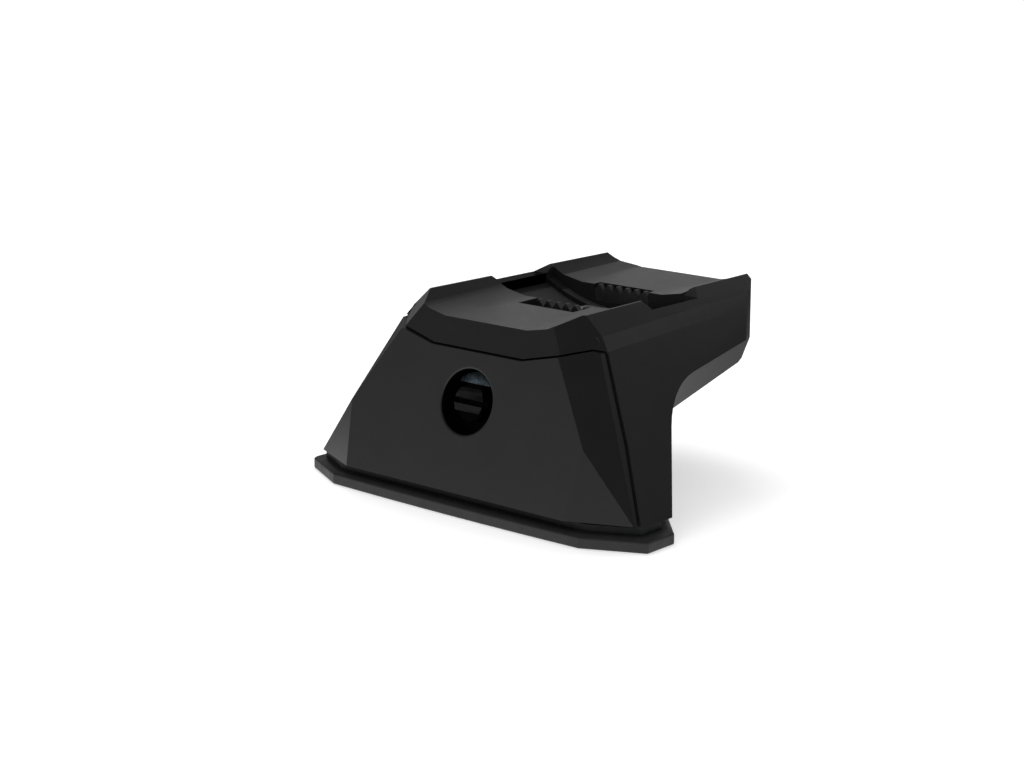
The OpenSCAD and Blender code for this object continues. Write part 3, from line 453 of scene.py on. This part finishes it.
def jaw_metal(settings, streaks_per_metre=(90, 700, 700)):
    """Darkened key jaws with painted highlight stripes along their length and roughness that streaks
    the same way.
    """
    material, tree, shader = new_material("jaw_metal")
    place = tree.nodes.new("ShaderNodeTexCoord")
    stretch = tree.nodes.new("ShaderNodeMapping")
    stretch.inputs["Scale"].default_value = streaks_per_metre
    wire(tree, place.outputs["Object"], stretch.inputs["Vector"])
    streaks = tree.nodes.new("ShaderNodeTexNoise")
    streaks.inputs["Scale"].default_value = 1
    streaks.inputs["Detail"].default_value = 3
    wire(tree, stretch.outputs["Vector"], streaks.inputs["Vector"])
    # Painted highlight: pale stripes along the jaws, from 0.35 to 1.9 times the jaw colour.
    tone = spread(tree, streaks.outputs["Fac"], 0, 1, 0.38, 0.62)
    colour = settings.jaw_colour
    highlight_striped = mix_colour(tree, tone, scaled(colour, 0.35), scaled(colour, 1.9))
    wire(tree, highlight_striped, shader.inputs["Base Color"])
    wire(tree, spread(tree, streaks.outputs["Fac"], 0.24, 0.44), shader.inputs["Roughness"])
    shader.inputs["Metallic"].default_value = 0.85
    grain_bump(tree, shader, 0.5 * MM, 0.02 * MM, 0.5)
    return material


# Pieces


def dress(piece, material):
    """Gives a piece or a CAD node one material."""
    piece.data.materials.clear()
    piece.data.materials.append(material)


def dress_nodes(names, material):
    for name in names:
        dress(frame["nodes"][name], material)


def long_sharp_edges(bm, least_angle, least_length):
    """Outer edges that a mould tool would break: convex, sharp and long enough."""
    return [
        edge for edge in bm.edges
        if len(edge.link_faces) == 2
        and edge.is_convex
        and edge.calc_length() > least_length
        and edge.calc_face_angle(0) > least_angle
    ]


def lean_end_wall(bm, lean=0.25, corner_y=0.0925, middle_y=0.0985, foot_z=0.053):
    """Leans the upper part of the arm's bowed end wall back, most where it bows most."""
    for vert in bm.verts:
        bowed = min(1, (vert.co.y - corner_y) / (middle_y - corner_y))
        if bowed > 0:
            vert.co.y -= bowed * lean * max(0, vert.co.z - foot_z)


def shape_cradle(bm, wall_y=(0.0312, 0.0570), wall_x=0.0310, tops=(0.0634, 0.0643), lowered=0.0612):
    """Leans the end wall back and slopes the low walls' tops further into the well."""
    lean_end_wall(bm)
    for vert in bm.verts:
        beside = wall_y[0] - NEAR < vert.co.y < wall_y[1] + NEAR
        if beside and abs(abs(vert.co.x) - wall_x) < NEAR and tops[0] < vert.co.z < tops[1]:
            vert.co.z = lowered


def rounded_copy(node, name, radius, shape=None, least_angle=math.radians(14), least_length=3 * MM):
    """A copy of a CAD solid with its long outer edges rounded, which stands for it."""
    source = frame["nodes"][node]
    bm = bmesh.new()
    bm.from_mesh(source.data)
    bmesh.ops.remove_doubles(bm, verts=bm.verts, dist=1e-6)
    bmesh.ops.dissolve_limit(bm, angle_limit=math.radians(0.4), verts=bm.verts, edges=bm.edges)
    if shape:
        shape(bm)
    edges = long_sharp_edges(bm, least_angle, least_length)
    bmesh.ops.bevel(
        bm, geom=edges, offset=radius, offset_type="OFFSET", segments=3, profile=0.5,
        affect="EDGES", clamp_overlap=True, loop_slide=True)
    return finished_piece(bm, name, node)


def finished_piece(bm, name, node, smooth_angle=math.radians(28)):
    """Makes the object, shades its rounded edges and sets it in its node's place."""
    bmesh.ops.triangulate(bm, faces=[f for f in bm.faces if len(f.verts) > 4])
    for face in bm.faces:
        face.smooth = True
    for edge in bm.edges:
        edge.smooth = len(edge.link_faces) == 2 and edge.calc_face_angle(0) < smooth_angle
    mesh = bpy.data.meshes.new(name)
    bm.to_mesh(mesh)
    bm.free()
    piece = bpy.data.objects.new(name, mesh)
    bpy.context.scene.collection.objects.link(piece)
    weighted = piece.modifiers.new("Flat faces stay flat", "WEIGHTED_NORMAL")
    weighted.keep_sharp = True
    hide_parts(node)
    body = frame["nodes"][node]["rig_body"]
    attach(piece, body)
    return piece


def lock_place():
    """Place of the lock: X across, Y up its face and Z outwards, with zero on the barrel's face."""
    joint = next(j for j in frame["joints"] if j["name"] == "lock_turn")
    outward = -Vector(joint["axis"]).normalized()
    across = Vector((1, 0, 0))
    up = outward.cross(across)
    corners = [v.co for v in frame["nodes"]["lock_barrel"].data.vertices]
    start = Vector(joint["pos_m"])
    start += outward * max((c - start).dot(outward) for c in corners)
    return Matrix.Translation(start) @ Matrix((across, up, outward)).transposed().to_4x4()


def housing_radius():
    """Outer radius of the lock housing."""
    low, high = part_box("lock_housing")
    return (high.x - low.x) / 2


def shape_lock_hole(bm, rim=0.9 * MM, steps=4, clearance=0.5 * MM, reach=0.3 * MM):
    """Rounds the rim of the lock hole: its wall is drawn in below a quarter-round edge."""
    place = lock_place()
    outer = housing_radius() + clearance
    bm.transform(place.inverted())
    top = max(v.co.z for v in bm.verts if abs(math.hypot(v.co.x, v.co.y) - outer) < reach)
    for step in range(1, steps + 1):
        wall = {v for v in bm.verts if abs(math.hypot(v.co.x, v.co.y) - outer) < reach}
        faces = [f for f in bm.faces if all(v in wall for v in f.verts)]
        geom = {v for f in faces for v in f.verts} | {e for f in faces for e in f.edges} | set(faces)
        depth = rim * (1 - math.cos(step / steps * math.pi / 2))
        bmesh.ops.bisect_plane(bm, geom=list(geom), dist=1e-8,
                               plane_co=(0, 0, top - depth), plane_no=(0, 0, 1))
    for vert in bm.verts:
        radius = math.hypot(vert.co.x, vert.co.y)
        if abs(radius - outer) < reach:
            depth = min(rim, top - vert.co.z)
            drawn_in = math.sqrt(max(0, rim * rim - (rim - depth) ** 2))
            vert.co.xy *= (outer - drawn_in) / radius
    bm.transform(place)


class BARFOOT_OT_stage(bpy.types.Operator):
    """Makes the camera, the pale floor, the lamp and the even light all round"""

    bl_idname = "barfoot.stage"
    bl_label = "Stage"

    def execute(self, context):
        settings = context.scene.barfoot_stage
        self.camera(context, settings)
        self.floor(context, settings)
        self.world(context, settings)
        self.key_light(context, settings)
        context.scene.view_settings.view_transform = "Standard"
        return {"FINISHED"}

    def camera(self, context, settings):
        data = bpy.data.cameras.new("studio_camera")
        data.sensor_width = 36
        data.lens = settings.lens
        data.clip_start = 0.01
        camera = bpy.data.objects.new("studio_camera", data)
        flat = math.cos(settings.elevation)
        ahead = Vector((-math.sin(settings.azimuth) * flat, math.cos(settings.azimuth) * flat,
                        -math.sin(settings.elevation)))
        right = Vector((math.cos(settings.azimuth), math.sin(settings.azimuth), 0))
        up = right.cross(ahead)
        place = Vector(settings.aim) - ahead * settings.distance
        turn = Matrix((right, up, -ahead)).transposed().to_4x4()
        camera.matrix_world = Matrix.Translation(place) @ turn
        context.scene.collection.objects.link(camera)
        context.scene.camera = camera

    def floor(self, context, settings):
        bm = bmesh.new()
        bmesh.ops.create_circle(bm, cap_ends=True, radius=6, segments=64)
        mesh = bpy.data.meshes.new("studio_floor")
        bm.to_mesh(mesh)
        bm.free()
        floor = bpy.data.objects.new("studio_floor", mesh)
        floor.location.z = cad_box[0].z - 0.05 * MM
        context.scene.collection.objects.link(floor)
        floor.data.materials.append(self.floor_material(settings))

    def floor_material(self, settings):
        """Pale and matt, white to the camera where it is lit, dimmer behind in reflections."""
        material, tree, shader = new_material("studio_floor")
        shader.inputs["Base Color"].default_value = (*settings.floor_colour, 1)
        shader.inputs["Roughness"].default_value = 1
        shader.inputs["Specular IOR Level"].default_value = 0
        shader.inputs["Emission Color"].default_value = (1, 1, 1, 1)
        path = tree.nodes.new("ShaderNodeLightPath")
        lift = tree.nodes.new("ShaderNodeMath")
        lift.operation = "MULTIPLY"
        lift.inputs[1].default_value = settings.floor_lift
        wire(tree, path.outputs["Is Camera Ray"], lift.inputs[0])
        wire(tree, lift.outputs["Value"], shader.inputs["Emission Strength"])
        place = tree.nodes.new("ShaderNodeTexCoord")
        axes = tree.nodes.new("ShaderNodeSeparateXYZ")
        wire(tree, place.outputs["Object"], axes.inputs["Vector"])
        depth = spread(tree, axes.outputs["Y"], 0, 1, -0.1, 0.4)
        aside = tree.nodes.new("ShaderNodeMath")
        aside.operation = "ABSOLUTE"
        wire(tree, axes.outputs["X"], aside.inputs[0])
        card = tree.nodes.new("ShaderNodeEmission")
        wire(tree, grey_ramp(tree, depth, FLOOR_GREYS), card.inputs["Color"])
        wire(tree, spread(tree, aside.outputs["Value"], 1, 0.3, 0.1, 0.3), card.inputs["Strength"])
        either = tree.nodes.new("ShaderNodeMixShader")
        wire(tree, mirrored_rays(tree, path), either.inputs["Fac"])
        wire(tree, shader.outputs["BSDF"], either.inputs[1])
        wire(tree, card.outputs["Emission"], either.inputs[2])
        wire(tree, either.outputs["Shader"], tree.nodes["Material Output"].inputs["Surface"])
        return material

    def world(self, context, settings):
        world = bpy.data.worlds.new("studio_light")
        context.scene.world = world
        world.use_nodes = True
        tree = world.node_tree
        tree.nodes.clear()
        output = tree.nodes.new("ShaderNodeOutputWorld")
        even = tree.nodes.new("ShaderNodeBackground")
        even.inputs["Color"].default_value = (1, 1, 1, 1)
        even.inputs["Strength"].default_value = settings.fill
        white = tree.nodes.new("ShaderNodeBackground")
        white.inputs["Color"].default_value = (1, 1, 1, 1)
        mirrored = tree.nodes.new("ShaderNodeBackground")
        wire(tree, self.backdrop(tree), mirrored.inputs["Color"])
        path = tree.nodes.new("ShaderNodeLightPath")
        first = tree.nodes.new("ShaderNodeMixShader")
        wire(tree, mirrored_rays(tree, path), first.inputs["Fac"])
        wire(tree, even.outputs["Background"], first.inputs[1])
        wire(tree, mirrored.outputs["Background"], first.inputs[2])
        second = tree.nodes.new("ShaderNodeMixShader")
        wire(tree, path.outputs["Is Camera Ray"], second.inputs["Fac"])
        wire(tree, first.outputs["Shader"], second.inputs[1])
        wire(tree, white.outputs["Background"], second.inputs[2])
        wire(tree, second.outputs["Shader"], output.inputs["Surface"])

    def backdrop(self, tree):
        """Pale at the horizon in front, dimmer behind, with a pale band half way up behind right."""
        place = tree.nodes.new("ShaderNodeTexCoord")
        axes = tree.nodes.new("ShaderNodeSeparateXYZ")
        wire(tree, place.outputs["Generated"], axes.inputs["Vector"])
        height = axes.outputs["Z"]
        ahead = grey_ramp(tree, height, AHEAD_GREYS)
        behind_left = grey_ramp(tree, height, BEHIND_LEFT_GREYS)
        behind_right = grey_ramp(tree, height, BEHIND_RIGHT_GREYS)
        rightward = spread(tree, axes.outputs["X"], 0, 1, -0.25, 0.15)
        behind = mix_colour(tree, rightward, behind_left, behind_right)
        window = grey_ramp(tree, spread(tree, axes.outputs["X"], 0, 1, -1, 1), WINDOW_GREYS)
        lit = tree.nodes.new("ShaderNodeVectorMath")
        lit.operation = "MULTIPLY"
        wire(tree, ahead, lit.inputs[0])
        wire(tree, window, lit.inputs[1])
        backward = spread(tree, axes.outputs["Y"], 0, 1, 0.15, 0.5)
        return mix_colour(tree, backward, lit.outputs["Vector"], behind)

    def key_light(self, context, settings):
        data = bpy.data.lights.new("key_softbox", "AREA")
        data.shape = "SQUARE"
        data.size = KEY_WIDTH
        data.energy = settings.key_power
        lamp = bpy.data.objects.new("key_softbox", data)
        lamp.location = Vector(KEY_DIRECTION) * KEY_DISTANCE
        lamp.rotation_euler = lamp.location.to_track_quat("Z", "Y").to_euler()
        lamp.visible_glossy = False
        context.scene.collection.objects.link(lamp)


class BARFOOT_OT_pad(bpy.types.Operator):
    """Rounds and dresses the rubber pad, and dresses the coated plate above it"""

    bl_idname = "barfoot.pad"
    bl_label = "Pad and plate"

    def execute(self, context):
        settings = context.scene.barfoot_pad
        pad = rounded_copy("base_pad", "rubber_pad", settings.edge_radius)
        dress(pad, pad_rubber(settings))
        dress_nodes(["base_plate"], coated_steel(settings))
        return {"FINISHED"}


class BARFOOT_OT_mouldings(bpy.types.Operator):
    """Rounds and dresses the tower, the cradle and the cover, and dresses the keel cover"""

    bl_idname = "barfoot.mouldings"
    bl_label = "Mouldings"

    def execute(self, context):
        settings = context.scene.barfoot_moulding
        nylon = moulded_nylon(settings)
        for node, name, shape in (
                ("tower_body", "tower_moulding", lean_end_wall),
                ("bar_cradle", "cradle_moulding", shape_cradle),
                ("front_cover", "cover_moulding", shape_lock_hole)):
            piece = rounded_copy(node, name, settings.edge_radius, shape)
            dress(piece, nylon)
            if node == "bar_cradle":
                self.dress_well(piece, settings)
        dress_nodes(["keel_cover"], nylon)
        return {"FINISHED"}

    def dress_well(self, cradle, settings):
        """The well's floor gets a duller, paler nylon than the outside."""
        lightened = moulded_nylon(settings, "pale_well_nylon", settings.well_shade, 0.12)
        cradle.data.materials.append(lightened)
        for face in cradle.data.polygons:
            middle = face.center
            inside = WELL_Y[0] < middle.y < WELL_Y[1] and abs(middle.x) < WELL_HALF
            if inside and middle.z < WELL_TOP and face.normal.z > 0.5:
                face.material_index = 1


class BARFOOT_OT_metal(bpy.types.Operator):
    """Dresses the grips, screws, sleeves, keeper, drive bolt, carriage and tee"""

    bl_idname = "barfoot.metal"
    bl_label = "Metal pieces"

    def execute(self, context):
        settings = context.scene.barfoot_metal
        zinc = plated_metal("zinc_steel", settings.zinc_colour, 0.22, 0.4, 0.4 * MM, 0.008 * MM, 1.04)
        dress_nodes(["base_screws", "fixing_sleeves", "keel_screws", "cradle_screws", "keeper",
                     "keeper_screws", "bolt_washer", "drive_bolt", "bolt_clip", "clamp_tee",
                     "tee_pin", "lock_nut", "lock_clip", "lock_cam", "cam_screw"], zinc)
        black = plated_metal("blackened_steel", settings.grip_colour, 0.34, 0.52, 0.5 * MM, 0.02 * MM)
        dress_nodes(["front_grip", "rear_grip"], black)
        cast = plated_metal("cast_block", settings.block_colour, 0.4, 0.6, 0.7 * MM, 0.03 * MM)
        dress_nodes(["clamp_carriage"], cast)
        return {"FINISHED"}


class BARFOOT_OT_lock(bpy.types.Operator):
    """Dresses the lock and makes the barrel with its two raised key jaws"""

    bl_idname = "barfoot.lock"
    bl_label = "Lock"

    def execute(self, context):
        settings = context.scene.barfoot_lock
        hood = self.hood(settings)
        dress(hood, speckled_casting(settings))
        black = lock_black(settings)
        # Painted shade: the hole's wall and the housing get the near-black, almost unreflective finish.
        self.shade_hole_wall(black)
        dress_nodes(["lock_housing"], black)
        barrel = self.barrel(settings)
        barrel.data.materials.append(black)
        barrel.data.materials.append(jaw_metal(settings))
        return {"FINISHED"}

    def hood(self, settings):
        """A domed cap over the top of the barrel: a grid of points on a sphere with a skirt."""
        place = lock_place()
        inverse = place.inverted()
        foot = min((inverse @ v.co).z for v in frame["nodes"]["lock_hood"].data.vertices)
        low, reach = settings.hood_low, settings.hood_reach
        half = math.sqrt(reach * reach - low * low)
        across, upward = 28, 12
        bm = bmesh.new()
        rows = []
        for i in range(across + 1):
            x = half * math.sin((i / across - 0.5) * math.pi)
            top = max(low, math.sqrt(max(0, reach * reach - x * x)))
            row = []
            for k in range(upward + 1):
                y = low + (top - low) * k / upward
                z = settings.hood_rise - settings.hood_sphere + math.sqrt(
                    settings.hood_sphere ** 2 - x * x - y * y)
                row.append(bm.verts.new((x, y, z)))
            rows.append(row)
        for near, far in zip(rows, rows[1:]):
            for k in range(upward):
                bm.faces.new((near[k], far[k], far[k + 1], near[k + 1]))
        bmesh.ops.remove_doubles(bm, verts=bm.verts, dist=1e-6)
        rim = [e for e in bm.edges if e.is_boundary]
        skirt = bmesh.ops.extrude_edge_only(bm, edges=rim)
        for item in skirt["geom"]:
            if isinstance(item, bmesh.types.BMVert):
                item.co.z = foot
        bmesh.ops.holes_fill(bm, edges=[e for e in bm.edges if e.is_boundary], sides=0)
        bmesh.ops.recalc_face_normals(bm, faces=bm.faces)
        bm.transform(place)
        return finished_piece(bm, "lock_hood_dome", "lock_hood")

    def shade_hole_wall(self, material):
        """Paints shade on the wall of the lock hole in the cover with the near-black lock finish, and
        leaves its rounded rim.
        """
        cover = bpy.data.objects["cover_moulding"]
        cover.data.materials.append(material)
        inverse = lock_place().inverted()
        reach = housing_radius() - NEAR
        for face in cover.data.polygons:
            middle = inverse @ face.center
            if math.hypot(middle.x, middle.y) < reach:
                face.material_index = 1

    def barrel(self, settings, edge_radius=0.45 * MM, margin=0.1 * MM, jaw_floor=0.6 * MM):
        """The barrel's face is cut back above and below the jaws, and their edges are broken."""
        place = lock_place()
        bm = bmesh.new()
        bm.from_mesh(frame["nodes"]["lock_barrel"].data)
        bmesh.ops.remove_doubles(bm, verts=bm.verts, dist=1e-6)
        bmesh.ops.dissolve_limit(bm, angle_limit=math.radians(0.4), verts=bm.verts, edges=bm.edges)
        bm.transform(place.inverted())
        for height, side in ((settings.jaw_height, 1), (-settings.jaw_depth, -1)):
            self.cut_back(bm, Vector((0, height, 0)), Vector((0, side, 0)), -settings.jaw_step)
        bmesh.ops.bisect_plane(bm, geom=bm.verts[:] + bm.edges[:] + bm.faces[:], dist=1e-7,
                               plane_co=(0, settings.jaw_bend, 0), plane_no=(0, 1, 0))
        for vert in bm.verts:
            if vert.co.z > -1e-5 and vert.co.y > settings.jaw_bend + 1e-5:
                vert.co.z -= (vert.co.y - settings.jaw_bend) * math.tan(settings.jaw_slope)
        face_edges = [
            edge for edge in long_sharp_edges(bm, math.radians(40), 2 * MM)
            if all(v.co.z > -margin for v in edge.verts)
        ]
        bmesh.ops.bevel(
            bm, geom=face_edges, offset=edge_radius, offset_type="OFFSET", segments=3, profile=0.5,
            affect="EDGES", clamp_overlap=True)
        for face in bm.faces:
            middle = face.calc_center_median()
            inside = -settings.jaw_depth - margin < middle.y < settings.jaw_height + margin
            face.material_index = int(middle.z > -jaw_floor and inside)
        bm.transform(place)
        return finished_piece(bm, "lock_barrel_jaws", "lock_barrel")

    def cut_back(self, bm, start, outward, depth):
        """Lowers the face beyond a line to a depth, with an upright step at the line."""
        for point, normal in ((start, outward), (Vector((0, 0, depth)), Vector((0, 0, 1)))):
            bmesh.ops.bisect_plane(bm, geom=bm.verts[:] + bm.edges[:] + bm.faces[:], plane_co=point,
                                   plane_no=normal, dist=1e-7)
        doomed = [
            face for face in bm.faces
            if (face.calc_center_median() - start).dot(outward) > 1e-6
            and face.calc_center_median().z > depth + 1e-6
        ]
        bmesh.ops.delete(bm, geom=doomed, context="FACES")
        line = [v for v in bm.verts if v.is_boundary and abs((v.co - start).dot(outward)) < 1e-6]
        line.sort(key=lambda v: v.co.z)
        left, right = ([v for v in line if v.co.x * side > 0] for side in (-1, 1))
        if len(left) != 2 or len(right) != 2:
            raise RuntimeError("the barrel's face could not be cut back at the jaws")
        bm.faces.new((left[0], right[0], right[1], left[1]))
        bmesh.ops.holes_fill(bm, edges=[e for e in bm.edges if e.is_boundary], sides=0)
        bmesh.ops.recalc_face_normals(bm, faces=bm.faces)


class BARFOOT_PT_panel(bpy.types.Panel):
    """Lists the pieces in the order they are made"""

    bl_idname = "BARFOOT_PT_panel"
    bl_label = "Roof Bar Foot"
    bl_space_type = "VIEW_3D"
    bl_region_type = "UI"
    bl_category = "Bar Foot"

    def draw(self, context):
        scene = context.scene
        groups = (
            (BARFOOT_OT_stage, scene.barfoot_stage),
            (BARFOOT_OT_pad, scene.barfoot_pad),
            (BARFOOT_OT_mouldings, scene.barfoot_moulding),
            (BARFOOT_OT_metal, scene.barfoot_metal),
            (BARFOOT_OT_lock, scene.barfoot_lock),
        )
        for operator, settings in groups:
            box = self.layout.box()
            box.operator(operator.bl_idname)
            for name in settings.__annotations__:
                box.prop(settings, name)


CLASSES = (
    MouldingSettings, PadSettings, MetalSettings, LockSettings, StageSettings,
    BARFOOT_OT_stage, BARFOOT_OT_pad, BARFOOT_OT_mouldings, BARFOOT_OT_metal, BARFOOT_OT_lock,
    BARFOOT_PT_panel,
)
SETTINGS = {
    "barfoot_moulding": MouldingSettings,
    "barfoot_pad": PadSettings,
    "barfoot_metal": MetalSettings,
    "barfoot_lock": LockSettings,
    "barfoot_stage": StageSettings,
}


def register():
    for item in CLASSES:
        bpy.utils.register_class(item)
    for name, group in SETTINGS.items():
        setattr(bpy.types.Scene, name, bpy.props.PointerProperty(type=group))


def unregister():
    for name in SETTINGS:
        delattr(bpy.types.Scene, name)
    for item in reversed(CLASSES):
        bpy.utils.unregister_class(item)


def main():
    register()
    bpy.ops.barfoot.stage()
    bpy.ops.barfoot.pad()
    bpy.ops.barfoot.mouldings()
    bpy.ops.barfoot.metal()
    bpy.ops.barfoot.lock()
    bpy.context.view_layer.update()


if __name__ == "__main__":
    main()
